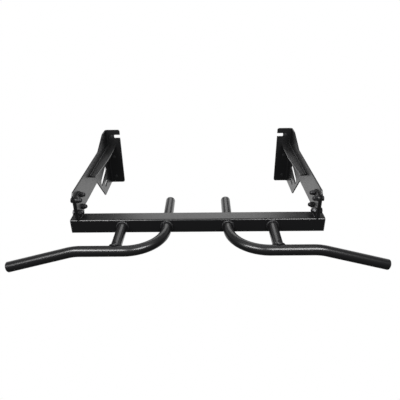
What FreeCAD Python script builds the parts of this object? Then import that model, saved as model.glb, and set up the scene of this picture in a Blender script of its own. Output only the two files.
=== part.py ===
import FreeCAD, Part
import Sketcher
import math
import os
import re

# Wall-mounted pull-up bar, in millimetres.
# +X is the user's right, +Y points into the wall, +Z is up.
# The origin lies on the wall, in the middle of the six fixing holes.

V = FreeCAD.Vector
doc = FreeCAD.newDocument("PullUpBar")

# ---------------------------------------------------------------- driving dimensions

DIMENSIONS = [
    ("bar_length", 830, "crossbar over its end caps"),
    ("bar_side", 50, "square crossbar, outside"),
    ("bar_wall", 3, "crossbar wall"),
    ("bar_corner", 6, "crossbar outer corner radius"),
    ("bar_reach", 490, "wall to crossbar centre"),
    ("bar_drop", 42, "crossbar centre below the middle fixing holes"),
    ("bar_cap_flange", 3, "thickness of the crossbar cap outside the tube"),
    ("bar_cap_depth", 18, "length of the crossbar cap inside the tube"),
    ("cap_skin", 2, "wall of the hollow plug of any cap"),
    ("plug_gap", 0.25, "clearance between a plug and its tube"),
    ("plate_thick", 5, "bent bracket plate"),
    ("arm_inside", 778, "between the inner faces of the two arms"),
    ("arm_depth", 96, "height of the arm's straight part"),
    ("arm_gap", 3, "arm's lower edge above the crossbar"),
    ("arm_overhang", 29, "arm in front of the crossbar centre"),
    ("arm_corner", 9, "chamfer on the arm's front top corner"),
    ("bend_inner", 5, "inner radius of the plate's bend"),
    ("flange_width", 62, "wall flange, across"),
    ("flange_height", 240, "wall flange, upright"),
    ("flange_corner", 8, "corner radius of the wall flange"),
    ("shoulder_run", 59, "level top edge of the web from the wall"),
    ("shoulder_end", 161, "where the sloping edge meets the arm's top, from the wall"),
    ("shoulder_blend", 30, "radius at both ends of the sloping edge"),
    ("tooth_run", 133, "tooth tip from the wall"),
    ("notch_run", 231, "top of the notch from the wall"),
    ("tooth_round", 4, "radius of the tooth tip and of the notch"),
    ("hole_pitch", 92, "between fixing holes, upright"),
    ("hole_span", 732, "between the two columns of fixing holes"),
    ("hole_dia", 8.5, "fixing hole for an M8 screw"),
    ("hook_height", 14, "open slot in the flange's inner edge"),
    ("hook_depth", 25, "depth of that slot"),
    ("hook_round", 3, "radius at the closed end of that slot"),
    ("vent_angle", 17, "slope of the two web slots"),
    ("vent_long", 82, "long web slot, between end centres"),
    ("vent_wide", 28, "long web slot, width"),
    ("vent_run", 124, "middle of the long web slot from the wall"),
    ("vent_drop", 35, "middle of the long web slot below the middle fixing holes"),
    ("vent_short", 30, "short web slot, between end centres"),
    ("vent_slim", 17, "short web slot, width"),
    ("vent_low_run", 100, "middle of the short web slot from the wall"),
    ("vent_low_drop", 77, "middle of the short web slot below the middle fixing holes"),
    ("vent_flat", 0.1, "flat left in the middle of a web slot's rounded end"),
    ("cut_past", 10, "how far a cutting outline reaches past the plate"),
    ("gusset_thick", 5, "gusset plate"),
    ("gusset_rise", 50, "top of the gusset above the middle fixing holes"),
    ("gusset_width", 34, "gusset at the wall"),
    ("gusset_tip", 21, "gusset's front end"),
    ("gusset_length", 313, "gusset from the flange to its front end"),
    ("gusset_straight", 154, "part of the gusset that keeps its full width"),
    ("weld_small", 4, "leg of the gusset weld"),
    ("weld_leg", 5, "leg of the hanger and tube welds"),
    ("weld_lip", 0.6, "thickness of a tube weld where it ends on the tube"),
    ("hanger_thick", 6, "hanger plate"),
    ("hanger_height", 80, "hanger plate above the crossbar"),
    ("hanger_front", 25, "hanger plate in front of the crossbar centre"),
    ("hanger_rear", 40, "hanger plate behind the crossbar centre"),
    ("hanger_corner", 14, "corner radius of the hanger plate"),
    ("bolt_run", 40, "between bolts, front to back"),
    ("bolt_rise", 44, "between bolts, upright"),
    ("bolt_shift", 6, "middle of the bolts behind the crossbar centre"),
    ("bolt_height", 46, "middle of the bolts above the crossbar"),
    ("bolt_dia", 10, "bolt shank"),
    ("bolt_play", 0.5, "radial clearance of the bolt in plates and washers"),
    ("thread_play", 0.1, "radial clearance of the bolt in its nut"),
    ("head_across", 16, "bolt head and nut across their flats"),
    ("head_height", 6.5, "bolt head"),
    ("head_crown", 0.6, "chamfered circle on the bolt head, inside the flats"),
    ("washer_dia", 20, "washer"),
    ("washer_thick", 2, "washer"),
    ("nut_height", 8, "hexagon part of the dome nut"),
    ("nut_dome", 7.2, "radius of the nut's dome"),
    ("nut_thread", 9, "thread depth in the dome nut"),
    ("thread_spare", 1, "thread left free at the bottom of the dome nut"),
    ("tube_dia", 33, "handle tube"),
    ("tube_wall", 2.5, "handle tube and strut wall"),
    ("tube_fit", 0.1, "radial clearance of the tube in the crossbar"),
    ("grip_spacing", 200, "between the two rear grips"),
    ("grip_length", 125, "rear grip behind the crossbar"),
    ("handle_reach", 164, "crossbar centre to the front grip's centre"),
    ("handle_bend", 120, "centre-line radius of the large bend"),
    ("wing_start", 368, "where the front grip turns down, from the middle"),
    ("wing_bend", 150, "centre-line radius of that bend"),
    ("wing_angle", 15, "droop of the outer end"),
    ("wing_length", 213, "outer end from where the centre lines cross"),
    ("strut_spacing", 490, "between the two struts"),
    ("strut_hole", 6, "vent hole on top of each strut"),
    ("strut_hole_back", 23, "vent hole behind the front grip's centre"),
    ("tube_cap_lip", 3, "thickness of a tube cap outside the tube"),
    ("tube_cap_depth", 20, "length of a tube cap inside the tube"),
    ("tube_cap_round", 2.2, "radius round a tube cap's rim"),
]

sheet = doc.addObject("Spreadsheet::Sheet", "Sizes")
for row, (alias, amount, meaning) in enumerate(DIMENSIONS, start=1):
    sheet.set("A%d" % row, meaning)
    sheet.set("B%d" % row, str(amount))
    sheet.setAlias("B%d" % row, alias)
doc.recompute()

# ---------------------------------------------------------------- expressions and sketches

ALIASES = "|".join(sorted((alias for alias, _, _ in DIMENSIONS), key=len, reverse=True))


def formula(text):
    """Point every dimension's name in the text at its cell in the sheet."""
    return re.sub(r"\b(%s)\b" % ALIASES, r"Sizes.\1", text)


def amount_of(text):
    """Value of a formula, in millimetres or degrees."""
    return float(sheet.evalExpression(formula(text)))


def bind(thing, **formulas):
    """Bind properties of an object to formulas; a double underscore stands for a dot."""
    for name, text in formulas.items():
        thing.setExpression(name.replace("__", "."), formula(text))


def place(thing, x="0", y="0", z="0", rotation=None):
    """Turn an object, then bind its position to three formulas."""
    thing.Placement = FreeCAD.Placement(V(0, 0, 0), rotation or FreeCAD.Rotation())
    bind(thing, Placement__Base__x=x, Placement__Base__y=y, Placement__Base__z=z)
    return thing


def new_body(label):
    body = doc.addObject("PartDesign::Body", label)
    body.Label = label
    return body


def new_sketch(body, role, offset="0"):
    """A sketch on one of the body's own origin planes, moved along its normal."""
    plane = [item for item in body.Origin.OriginFeatures if item.Role == role][0]
    sketch = body.newObject("Sketcher::SketchObject", body.Label + "_sketch")
    sketch.AttachmentSupport = [(plane, "")]
    sketch.MapMode = "FlatFace"
    bind(sketch, AttachmentOffset__Base__z=offset)
    return sketch


def pin_point(sketch, edge, end, x, y):
    """Hold one end (1 or 2) or the centre (3) of an edge at two formulas."""
    for kind, text in (("DistanceX", x), ("DistanceY", y)):
        index = sketch.addConstraint(Sketcher.Constraint(kind, -1, 1, edge, end, amount_of(text)))
        bind(sketch, **{"Constraints[%d]" % index: text})


def draw_outline(sketch, corners):
    """A closed outline with straight sides through corners given as pairs of formulas."""
    first = sketch.GeometryCount
    spots = [V(amount_of(x), amount_of(y), 0) for x, y in corners]
    for index, spot in enumerate(spots):
        sketch.addGeometry(Part.LineSegment(spot, spots[(index + 1) % len(spots)]), False)
    for index in range(len(spots)):
        after = (index + 1) % len(spots)
        sketch.addConstraint(Sketcher.Constraint("Coincident", first + index, 2, first + after, 1))
    for index, (x, y) in enumerate(corners):
        pin_point(sketch, first + index, 1, x, y)


def draw_circle(sketch, x, y, radius):
    circle = Part.Circle(V(amount_of(x), amount_of(y), 0), V(0, 0, 1), amount_of(radius))
    edge = sketch.addGeometry(circle, False)
    pin_point(sketch, edge, 3, x, y)
    index = sketch.addConstraint(Sketcher.Constraint("Radius", edge, amount_of(radius)))
    bind(sketch, **{"Constraints[%d]" % index: radius})


def pad(body, sketch, length, side="One side", reverse=False):
    feature = body.newObject("PartDesign::Pad", "Pad")
    feature.Profile = sketch
    feature.SideType = side
    feature.Reversed = reverse
    bind(feature, Length=length)
    doc.recompute()
    return feature


def cut_through(body, sketch):
    """Cut the sketch through the whole body, both ways, and make sure that it did."""
    before = body.Shape.Volume
    feature = body.newObject("PartDesign::Pocket", "Pocket")
    feature.Profile = sketch
    feature.Type = "ThroughAll"
    feature.SideType = "Symmetric"
    doc.recompute()
    if body.Shape.Volume >= before:
        raise ValueError(body.Label + ": a cut removed nothing")
    return feature


def nearest_edges(body, spots, direction=None):
    """Names of the straight edges that lie nearest to the given points."""
    names = []
    for spot in spots:
        best = None
        for number, edge in enumerate(body.Shape.Edges, start=1):
            if not isinstance(edge.Curve, Part.Line):
                continue
            along = edge.tangentAt(edge.FirstParameter)
            if direction is not None and abs(abs(along.dot(direction)) - 1) > 1e-6:
                continue
            gap = edge.distToShape(Part.Vertex(spot))[0]
            if best is None or gap < best[0]:
                best = (gap, "Edge%d" % number)
        names.append(best[1])
    return names


def round_edges(body, spots, radius, direction, kind="PartDesign::Fillet"):
    """Fillet or chamfer the edges along a direction that pass the given points."""
    solid = body.Tip
    names = nearest_edges(body, spots, direction)
    feature = body.newObject(kind, "Edges")
    feature.Base = (solid, names)
    bind(feature, **{"Radius" if kind.endswith("Fillet") else "Size": radius})
    doc.recompute()
    return feature


def spot(x, y, z):
    return V(amount_of(x), amount_of(y), amount_of(z))


# ---------------------------------------------------------------- shared places, as formulas

BAR_Y = "(-bar_reach)"
BAR_Z = "(-bar_drop)"
BAR_TOP = "(-bar_drop + bar_side / 2)"
BAR_FRONT = "(-bar_reach - bar_side / 2)"
BAR_BACK = "(-bar_reach + bar_side / 2)"
ARM_INNER = "(arm_inside / 2)"
ARM_OUTER = "(arm_inside / 2 + plate_thick)"
ARM_FRONT = "(-bar_reach - arm_overhang)"
ARM_LOW = "(-bar_drop + bar_side / 2 + arm_gap)"
ARM_TOP = "(-bar_drop + bar_side / 2 + arm_gap + arm_depth)"
FLANGE_TOP = "(flange_height / 2)"
GRIP_Y = "(-bar_reach - handle_reach)"
BOLT_Y = "(-bar_reach + bolt_shift)"
BOLT_Z = "(-bar_drop + bar_side / 2 + bolt_height)"
HANGER_INNER = "(arm_inside / 2 - hanger_thick)"

SIDES = (("left", -1), ("right", 1))
X_AXIS = V(1, 0, 0)
Y_AXIS = V(0, 1, 0)
Z_AXIS = V(0, 0, 1)
BOLT_GRID = [(run, rise) for run in ("-1", "1") for rise in ("-1", "1")]

nodes = []


def keep(thing, label):
    """Give a finished object its name and list it as a sub-part."""
    thing.Label = label
    nodes.append(thing)
    return thing


# ---------------------------------------------------------------- bent wall brackets


def slanted_slot(run, drop, length, width):
    """Corner formulas of a slanted slot in the web; its ends are rounded afterwards."""
    corners = []
    for along, across in ((-1, -1), (1, -1), (1, 1), (-1, 1)):
        y = "-%s + %d * (%s + %s) / 2 * cos(vent_angle * 1deg) - %d * %s / 2 * sin(vent_angle * 1deg)"
        z = "-%s + %d * (%s + %s) / 2 * sin(vent_angle * 1deg) + %d * %s / 2 * cos(vent_angle * 1deg)"
        corners.append((y % (run, along, length, width, across, width),
                        z % (drop, along, length, width, across, width)))
    return corners


def wall_bracket(label, side):
    """A plate bent to an L in plan, trimmed to the arm's outline, then pierced."""
    body = new_body(label)

    plan = new_sketch(body, "XY_Plane")
    draw_outline(plan, [
        ("%d * %s" % (side, ARM_OUTER), "0"),
        ("%d * (%s - flange_width)" % (side, ARM_OUTER), "0"),
        ("%d * (%s - flange_width)" % (side, ARM_OUTER), "-plate_thick"),
        ("%d * %s" % (side, ARM_INNER), "-plate_thick"),
        ("%d * %s" % (side, ARM_INNER), ARM_FRONT),
        ("%d * %s" % (side, ARM_OUTER), ARM_FRONT),
    ])
    pad(body, plan, "flange_height", "Symmetric")
    inner = spot("%d * %s" % (side, ARM_INNER), "-plate_thick", "0")
    outer = spot("%d * %s" % (side, ARM_OUTER), "0", "0")
    round_edges(body, [inner], "bend_inner", Z_AXIS)
    round_edges(body, [outer], "bend_inner + plate_thick", Z_AXIS)

    trim = new_sketch(body, "YZ_Plane")
    draw_outline(trim, [
        ("cut_past", "flange_height"),
        ("-2 * bar_reach", "flange_height"),
        ("-2 * bar_reach", "-flange_height"),
        ("cut_past", "-flange_height"),
    ])
    draw_outline(trim, [
        ("cut_past / 2", FLANGE_TOP),
        ("-shoulder_run", FLANGE_TOP),
        ("-shoulder_end", ARM_TOP),
        (ARM_FRONT + " - cut_past", ARM_TOP),
        (ARM_FRONT + " - cut_past", ARM_LOW),
        ("-notch_run", ARM_LOW),
        ("-tooth_run", "-" + FLANGE_TOP),
        ("cut_past / 2", "-" + FLANGE_TOP),
    ])
    cut_through(body, trim)

    middle = "%d * (%s + %s) / 2" % (side, ARM_INNER, ARM_OUTER)
    round_edges(body, [
        spot(middle, "-shoulder_run", FLANGE_TOP),
        spot(middle, "-shoulder_end", ARM_TOP),
    ], "shoulder_blend", X_AXIS)
    round_edges(body, [
        spot(middle, "-notch_run", ARM_LOW),
        spot(middle, "-tooth_run", "-" + FLANGE_TOP),
    ], "tooth_round", X_AXIS)
    round_edges(body, [spot(middle, ARM_FRONT, ARM_TOP)], "arm_corner", X_AXIS, "PartDesign::Chamfer")
    free_edge = "%d * (%s - flange_width)" % (side, ARM_OUTER)
    round_edges(body, [
        spot(free_edge, "-plate_thick / 2", FLANGE_TOP),
        spot(free_edge, "-plate_thick / 2", "-" + FLANGE_TOP),
    ], "flange_corner", Y_AXIS)

    holes = new_sketch(body, "XZ_Plane")
    for level in (-1, 0, 1):
        draw_circle(holes, "%d * hole_span / 2" % side, "%d * hole_pitch" % level, "hole_dia / 2")
    slot_end = "%d * (%s - flange_width + hook_depth)" % (side, ARM_OUTER)
    slot_mouth = "%d * (%s - flange_width - cut_past)" % (side, ARM_OUTER)
    draw_outline(holes, [
        (slot_mouth, "hole_pitch - hook_height / 2"),
        (slot_end, "hole_pitch - hook_height / 2"),
        (slot_end, "hole_pitch + hook_height / 2"),
        (slot_mouth, "hole_pitch + hook_height / 2"),
    ])
    cut_through(body, holes)
    round_edges(body, [
        spot(slot_end, "-plate_thick / 2", "hole_pitch - hook_height / 2"),
        spot(slot_end, "-plate_thick / 2", "hole_pitch + hook_height / 2"),
    ], "hook_round", Y_AXIS)

    web = new_sketch(body, "YZ_Plane")
    slots = (
        slanted_slot("vent_run", "vent_drop", "vent_long", "vent_wide"),
        slanted_slot("vent_low_run", "vent_low_drop", "vent_short", "vent_slim"),
    )
    for corners in slots:
        draw_outline(web, corners)
    for run, rise in BOLT_GRID:
        y = "%s + %s * bolt_run / 2" % (BOLT_Y, run)
        z = "%s + %s * bolt_rise / 2" % (BOLT_Z, rise)
        draw_circle(web, y, z, "bolt_dia / 2 + bolt_play")
    cut_through(body, web)
    for corners, width in zip(slots, ("vent_wide", "vent_slim")):
        ends = [spot(middle, y, z) for y, z in corners]
        round_edges(body, ends, "(%s - vent_flat) / 2" % width, X_AXIS)
    return keep(body, label)


# ---------------------------------------------------------------- gussets and their welds


def gusset(label, side):
    body = new_body(label)
    wall_face = "-plate_thick"
    outline = new_sketch(body, "XY_Plane", "gusset_rise - gusset_thick")
    draw_outline(outline, [
        ("%d * (%s - bend_inner)" % (side, ARM_INNER), wall_face),
        ("%d * (%s - gusset_width)" % (side, ARM_INNER), wall_face),
        ("%d * (%s - gusset_width)" % (side, ARM_INNER), "-plate_thick - gusset_straight"),
        ("%d * (%s - gusset_tip)" % (side, ARM_INNER), "-plate_thick - gusset_length"),
        ("%d * %s" % (side, ARM_INNER), "-plate_thick - gusset_length"),
        ("%d * %s" % (side, ARM_INNER), "-plate_thick - bend_inner"),
    ])
    pad(body, outline, "gusset_thick")
    return keep(body, label)


def gusset_weld(label, side):
    """A triangular bead on top of the gusset, along the arm."""
    body = new_body(label)
    bead = new_sketch(body, "XZ_Plane", "plate_thick + bend_inner")
    draw_outline(bead, [
        ("%d * %s" % (side, ARM_INNER), "gusset_rise"),
        ("%d * (%s - weld_small)" % (side, ARM_INNER), "gusset_rise"),
        ("%d * %s" % (side, ARM_INNER), "gusset_rise + weld_small"),
    ])
    pad(body, bead, "gusset_length - bend_inner")
    return keep(body, label)


# ---------------------------------------------------------------- crossbar


def crossbar(label):
    """Square tube across the front, pierced front and back for the two handle tubes."""
    body = new_body(label)
    half = "bar_side / 2"
    section = new_sketch(body, "YZ_Plane")
    square(section, half)
    pad(body, section, "bar_length - 2 * bar_cap_flange", "Symmetric")
    round_edges(body, square_corners(half), "bar_corner", X_AXIS)
    bore = new_sketch(body, "YZ_Plane")
    square(bore, half + " - bar_wall")
    cut_through(body, bore)
    round_edges(body, square_corners(half + " - bar_wall"), "bar_corner - bar_wall", X_AXIS)
    holes = new_sketch(body, "XZ_Plane")
    for _, side in SIDES:
        draw_circle(holes, "%d * grip_spacing / 2" % side, BAR_Z, "tube_dia / 2 + tube_fit")
    cut_through(body, holes)
    return keep(body, label)


def square(sketch, half):
    """A square of the given half side, centred on the crossbar."""
    draw_outline(sketch, [
        ("%s %s (%s)" % (BAR_Y, ysign, half), "%s %s (%s)" % (BAR_Z, zsign, half))
        for ysign, zsign in (("-", "-"), ("+", "-"), ("+", "+"), ("-", "+"))
    ])


def square_corners(half):
    return [
        spot("0", "%s %s (%s)" % (BAR_Y, ysign, half), "%s %s (%s)" % (BAR_Z, zsign, half))
        for ysign in "+-" for zsign in "+-"
    ]


def crossbar_cap(label, side):
    """A plug whose flange closes the crossbar flush with its outside."""
    body = new_body(label)
    inner_face = "%d * (bar_length / 2 - bar_cap_flange)" % side
    flange = new_sketch(body, "YZ_Plane", inner_face)
    square(flange, "bar_side / 2")
    pad(body, flange, "bar_cap_flange", reverse=side < 0)
    round_edges(body, square_corners("bar_side / 2"), "bar_corner", X_AXIS)
    plug_half = "bar_side / 2 - bar_wall - plug_gap"
    plug = new_sketch(body, "YZ_Plane", inner_face)
    square(plug, plug_half)
    square(plug, plug_half + " - cap_skin")
    pad(body, plug, "bar_cap_depth", reverse=side > 0)
    round_edges(body, [
        corner + X_AXIS * (side * amount_of("bar_length / 2 - bar_cap_flange - bar_cap_depth / 2"))
        for corner in square_corners(plug_half)
    ], "bar_corner - bar_wall", X_AXIS)
    return keep(body, label)


# ---------------------------------------------------------------- hanger plates


def hanger_plate(label, side):
    """Upright plate on the crossbar, flat against the arm's inner face."""
    body = new_body(label)
    top = BAR_TOP + " + hanger_height"
    outline = new_sketch(body, "YZ_Plane", "%d * %s" % (side, HANGER_INNER))
    draw_outline(outline, [
        (BAR_Y + " - hanger_front", BAR_TOP),
        (BAR_Y + " + hanger_rear", BAR_TOP),
        (BAR_Y + " + hanger_rear", top),
        (BAR_Y + " - hanger_front", top),
    ])
    for run, rise in BOLT_GRID:
        y = "%s + %s * bolt_run / 2" % (BOLT_Y, run)
        z = "%s + %s * bolt_rise / 2" % (BOLT_Z, rise)
        draw_circle(outline, y, z, "bolt_dia / 2 + bolt_play")
    pad(body, outline, "hanger_thick", reverse=side < 0)
    middle = "%d * (%s + hanger_thick / 2)" % (side, HANGER_INNER)
    round_edges(body, [
        spot(middle, BAR_Y + " - hanger_front", top),
        spot(middle, BAR_Y + " + hanger_rear", top),
    ], "hanger_corner", X_AXIS)
    return keep(body, label)


def hanger_weld(label, side):
    """A triangular bead along the foot of the hanger plate, on the crossbar's flat top."""
    body = new_body(label)
    start = "bar_reach - bar_side / 2 + bar_corner"
    bead = new_sketch(body, "XZ_Plane", start)
    draw_outline(bead, [
        ("%d * %s" % (side, HANGER_INNER), BAR_TOP),
        ("%d * (%s - weld_leg)" % (side, HANGER_INNER), BAR_TOP),
        ("%d * %s" % (side, HANGER_INNER), BAR_TOP + " + weld_leg"),
    ])
    pad(body, bead, "bar_side - 2 * bar_corner")
    return keep(body, label)


# ---------------------------------------------------------------- bolts, washers and nuts


def outward(side):
    """Turns +Z to point away from the middle of the object."""
    return FreeCAD.Rotation(Z_AXIS, X_AXIS * side)


def new_part(kind, name, side, x, y, z, **formulas):
    """A primitive whose own axis points outwards, placed by formulas."""
    part = doc.addObject("Part::" + kind, name)
    bind(part, **formulas)
    return place(part, "%d * (%s)" % (side, x), y, z, outward(side))


def combine(kind, name, base, tool):
    """One primitive joined to, cut by or limited by another."""
    joined = doc.addObject("Part::" + kind, name)
    joined.Base = base
    joined.Tool = tool
    return joined


def hexagon(name, side, x, y, z, height):
    prism = new_part("Prism", name, side, x, y, z,
                     Circumradius="head_across / 2 / cos(30deg)", Height=height)
    prism.Polygon = 6
    return prism


def four_of(label, side, build):
    """The same piece at each of the four bolts, grouped in one node."""
    group = doc.addObject("Part::Compound", label)
    links = []
    for number, (run, rise) in enumerate(BOLT_GRID, start=1):
        y = "%s + %s * bolt_run / 2" % (BOLT_Y, run)
        z = "%s + %s * bolt_rise / 2" % (BOLT_Z, rise)
        links.append(build("%s_%d" % (label, number), side, y, z))
    group.Links = links
    return keep(group, label)


def bolt(name, side, y, z):
    """Hexagon head outside the arm, shank through both plates into the nut."""
    under_head = ARM_OUTER + " + washer_thick"
    head = hexagon(name + "_head", side, under_head, y, z, "head_height")
    crown = new_part("Cone", name + "_crown", side, under_head, y, z,
                     Radius1="head_across / 2 / cos(30deg) + head_height",
                     Radius2="head_across / 2 - head_crown", Height="head_height")
    bevelled = combine("Common", name + "_bevelled", head, crown)
    reach = "2 * washer_thick + plate_thick + hanger_thick + nut_thread - thread_spare"
    shank = new_part("Cylinder", name + "_shank", side, under_head + " - (%s)" % reach, y, z,
                     Radius="bolt_dia / 2", Height=reach)
    return combine("Fuse", name, bevelled, shank)


def washer(name, side, x, y, z):
    disc = new_part("Cylinder", name + "_disc", side, x, y, z,
                    Radius="washer_dia / 2", Height="washer_thick")
    hole = new_part("Cylinder", name + "_hole", side, x, y, z,
                    Radius="bolt_dia / 2 + bolt_play", Height="washer_thick")
    return combine("Cut", name, disc, hole)


def head_washer(name, side, y, z):
    return washer(name, side, ARM_OUTER, y, z)


def nut_washer(name, side, y, z):
    return washer(name, side, HANGER_INNER + " - washer_thick", y, z)


def dome_nut(name, side, y, z):
    """Hexagon with a closed dome that points to the middle of the object."""
    seat = HANGER_INNER + " - washer_thick"
    body = hexagon(name + "_hexagon", side, seat + " - nut_height", y, z, "nut_height")
    dome = new_part("Sphere", name + "_dome", side, seat + " - nut_height", y, z, Radius="nut_dome")
    solid = combine("Fuse", name + "_solid", body, dome)
    thread = new_part("Cylinder", name + "_thread", side, seat + " - nut_thread", y, z,
                      Radius="bolt_dia / 2 + thread_play", Height="nut_thread")
    return combine("Cut", name, solid, thread)


# ---------------------------------------------------------------- handle tubes


def handle_tube(label, side):
    """Hollow tube along straight runs joined by tangent arcs.

    It starts at the rear grip's end, passes through the crossbar, turns outwards
    and ends in the drooping outer grip. Each stretch is the ring section, pushed
    or turned on from the stretch before it.
    """
    def at(name):
        return amount_of(name)

    where = V(side * at("grip_spacing / 2"), at(BAR_BACK + " + grip_length"), at(BAR_Z))
    outer = Part.Face(Part.Wire(Part.makeCircle(at("tube_dia / 2"), where, Y_AXIS)))
    inner = Part.Face(Part.Wire(Part.makeCircle(at("tube_dia / 2 - tube_wall"), where, Y_AXIS)))
    section = outer.cut(inner).Faces[0]
    pieces = []

    def straight(step):
        pieces.append(section.extrude(step))
        return section.translated(step)

    def turn(centre, axis, angle):
        pieces.append(section.revolve(centre, axis, angle))
        return section.rotated(centre, axis, angle)

    bend = at("handle_bend")
    wing = at("wing_bend")
    droop = at("wing_angle")
    tangent = wing * math.tan(math.radians(droop / 2))
    to_bend = at("grip_length + bar_side / 2 + handle_reach") - bend
    section = straight(V(0, -to_bend, 0))
    centre = where + V(side * bend, -to_bend, 0)
    section = turn(centre, Z_AXIS, side * 90)
    run = at("wing_start - grip_spacing / 2") - bend - tangent
    section = straight(V(side * run, 0, 0))
    centre = V(side * (at("wing_start") - tangent), at(GRIP_Y), at(BAR_Z) - wing)
    section = turn(centre, Y_AXIS, side * droop)
    heading = V(side * math.cos(math.radians(droop)), 0, -math.sin(math.radians(droop)))
    section = straight(heading * (at("wing_length") - tangent))
    tube = pieces[0].multiFuse(pieces[1:]).removeSplitter()
    feature = doc.addObject("Part::Feature", label)
    feature.Shape = Part.Solid(tube.Solids[0])
    return keep(feature, label)


def strut(label, side):
    """Tube from the crossbar to the front grip, its end coped round the grip."""
    x = "%d * strut_spacing / 2" % side
    forward = FreeCAD.Rotation(X_AXIS, 90)

    def cylinder(name, radius, length):
        part = doc.addObject("Part::Cylinder", label + name)
        bind(part, Radius=radius, Height=length)
        return place(part, x, BAR_FRONT, BAR_Z, forward)

    length = "handle_reach - bar_side / 2"
    wall = cylinder("_wall", "tube_dia / 2", length)
    bore = cylinder("_bore", "tube_dia / 2 - tube_wall", length)
    ring = combine("Cut", label + "_ring", wall, bore)
    grip = doc.addObject("Part::Cylinder", label + "_grip")
    bind(grip, Radius="tube_dia / 2", Height="3 * tube_dia")
    place(grip, x + " - 1.5 * tube_dia", GRIP_Y, BAR_Z, FreeCAD.Rotation(Y_AXIS, 90))
    coped = combine("Cut", label + "_coped", ring, grip)
    drill = doc.addObject("Part::Cylinder", label + "_drill")
    bind(drill, Radius="strut_hole / 2", Height="tube_dia")
    place(drill, x, GRIP_Y + " + strut_hole_back", BAR_Z)
    return keep(combine("Cut", label, coped, drill), label)


def weld_ring(name, x, y, z, towards):
    """A sloping bead round a tube where it meets a flat face."""
    turn = FreeCAD.Rotation(Z_AXIS, Y_AXIS * towards)
    cone = doc.addObject("Part::Cone", name + "_cone")
    bind(cone, Radius1="tube_dia / 2 + weld_leg", Radius2="tube_dia / 2 + weld_lip", Height="weld_leg")
    place(cone, x, y, z, turn)
    core = doc.addObject("Part::Cylinder", name + "_core")
    bind(core, Radius="tube_dia / 2", Height="weld_leg")
    place(core, x, y, z, turn)
    return combine("Cut", name, cone, core)


def handle_welds(label, side):
    """Weld rings: tube behind the crossbar, tube in front of it, strut in front of it."""
    group = doc.addObject("Part::Compound", label)
    tube_x = "%d * grip_spacing / 2" % side
    strut_x = "%d * strut_spacing / 2" % side
    group.Links = [
        weld_ring(label + "_back", tube_x, BAR_BACK, BAR_Z, 1),
        weld_ring(label + "_front", tube_x, BAR_FRONT, BAR_Z, -1),
        weld_ring(label + "_strut", strut_x, BAR_FRONT, BAR_Z, -1),
    ]
    return keep(group, label)


def tube_cap(label, x, y, z, turn):
    """Round plug: a lip with a rounded rim outside the tube and a hollow shank inside it."""
    body = new_body(label)
    radius = "tube_dia / 2"
    shank = "tube_dia / 2 - tube_wall - plug_gap"
    profile = new_sketch(body, "XZ_Plane")
    draw_outline(profile, [
        ("0", "tube_cap_lip"),
        (radius, "tube_cap_lip"),
        (radius, "0"),
        (shank, "0"),
        (shank, "-tube_cap_depth"),
        (shank + " - cap_skin", "-tube_cap_depth"),
        (shank + " - cap_skin", "0"),
        ("0", "0"),
    ])
    spin = body.newObject("PartDesign::Revolution", "Spin")
    spin.Profile = profile
    spin.ReferenceAxis = (profile, ["V_Axis"])
    doc.recompute()
    lip = body.Shape.BoundBox.ZMax
    names = ["Edge%d" % number for number, edge in enumerate(body.Shape.Edges, start=1)
             if isinstance(edge.Curve, Part.Circle) and abs(edge.Curve.Center.z - lip) < 1e-6]
    rim = body.newObject("PartDesign::Fillet", "Rim")
    rim.Base = (spin, names)
    bind(rim, Radius="tube_cap_round")
    place(body, x, y, z, turn)
    return keep(body, label)


def rear_cap(label, side):
    return tube_cap(label, "%d * grip_spacing / 2" % side, BAR_BACK + " + grip_length", BAR_Z,
                    FreeCAD.Rotation(Z_AXIS, Y_AXIS))


def outer_cap(label, side):
    droop = math.radians(amount_of("wing_angle"))
    heading = V(side * math.cos(droop), 0, -math.sin(droop))
    return tube_cap(label, "%d * (wing_start + wing_length * cos(wing_angle * 1deg))" % side,
                    GRIP_Y, BAR_Z + " - wing_length * sin(wing_angle * 1deg)",
                    FreeCAD.Rotation(Z_AXIS, heading))


# ---------------------------------------------------------------- assembly

crossbar("crossbar")
for word, side in SIDES:
    wall_bracket(word + "_wall_bracket", side)
    gusset(word + "_gusset", side)
    gusset_weld(word + "_gusset_weld", side)
    crossbar_cap(word + "_crossbar_cap", side)
    hanger_plate(word + "_hanger_plate", side)
    hanger_weld(word + "_hanger_weld", side)
    four_of(word + "_hanger_bolts", side, bolt)
    four_of(word + "_head_washers", side, head_washer)
    four_of(word + "_nut_washers", side, nut_washer)
    four_of(word + "_dome_nuts", side, dome_nut)
    handle_tube(word + "_handle_tube", side)
    strut(word + "_handle_strut", side)
    handle_welds(word + "_handle_welds", side)
    rear_cap(word + "_rear_cap", side)
    outer_cap(word + "_outer_cap", side)

doc.recompute()
for item in doc.Objects:
    if "Invalid" in item.State or "Error" in item.State:
        raise ValueError("%s did not recompute: %s" % (item.Label, item.State))
for node in nodes:
    if node.Shape.isNull() or not node.Shape.isValid() or not node.Shape.Solids:
        raise ValueError(node.Label + " has no valid solid")

os.makedirs("parts", exist_ok=True)
for node in nodes:
    node.Shape.exportStep("parts/%s.step" % node.Label)
    print("%-22s %2d solid(s) %10.0f mm3" % (node.Label, len(node.Shape.Solids), node.Shape.Volume))
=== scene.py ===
# %% [markdown]
# # A wall-mounted pull-up bar
#
# Two bent steel brackets bolt to the wall. A square crossbar hangs between them on bolted
# plates, and two bent tubes pass through it to make the rear grips, the front grips and the
# drooping outer grips. Everything is black: powder coat on the steel, black fasteners and
# black plastic plugs.
#
# The imported CAD model gives every place and size. It is loaded first and never moved, and
# most pieces made here take over from one of its nodes, which is then hidden.

import math

import bmesh
import bpy
from mathutils import Matrix, Vector, noise


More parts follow.
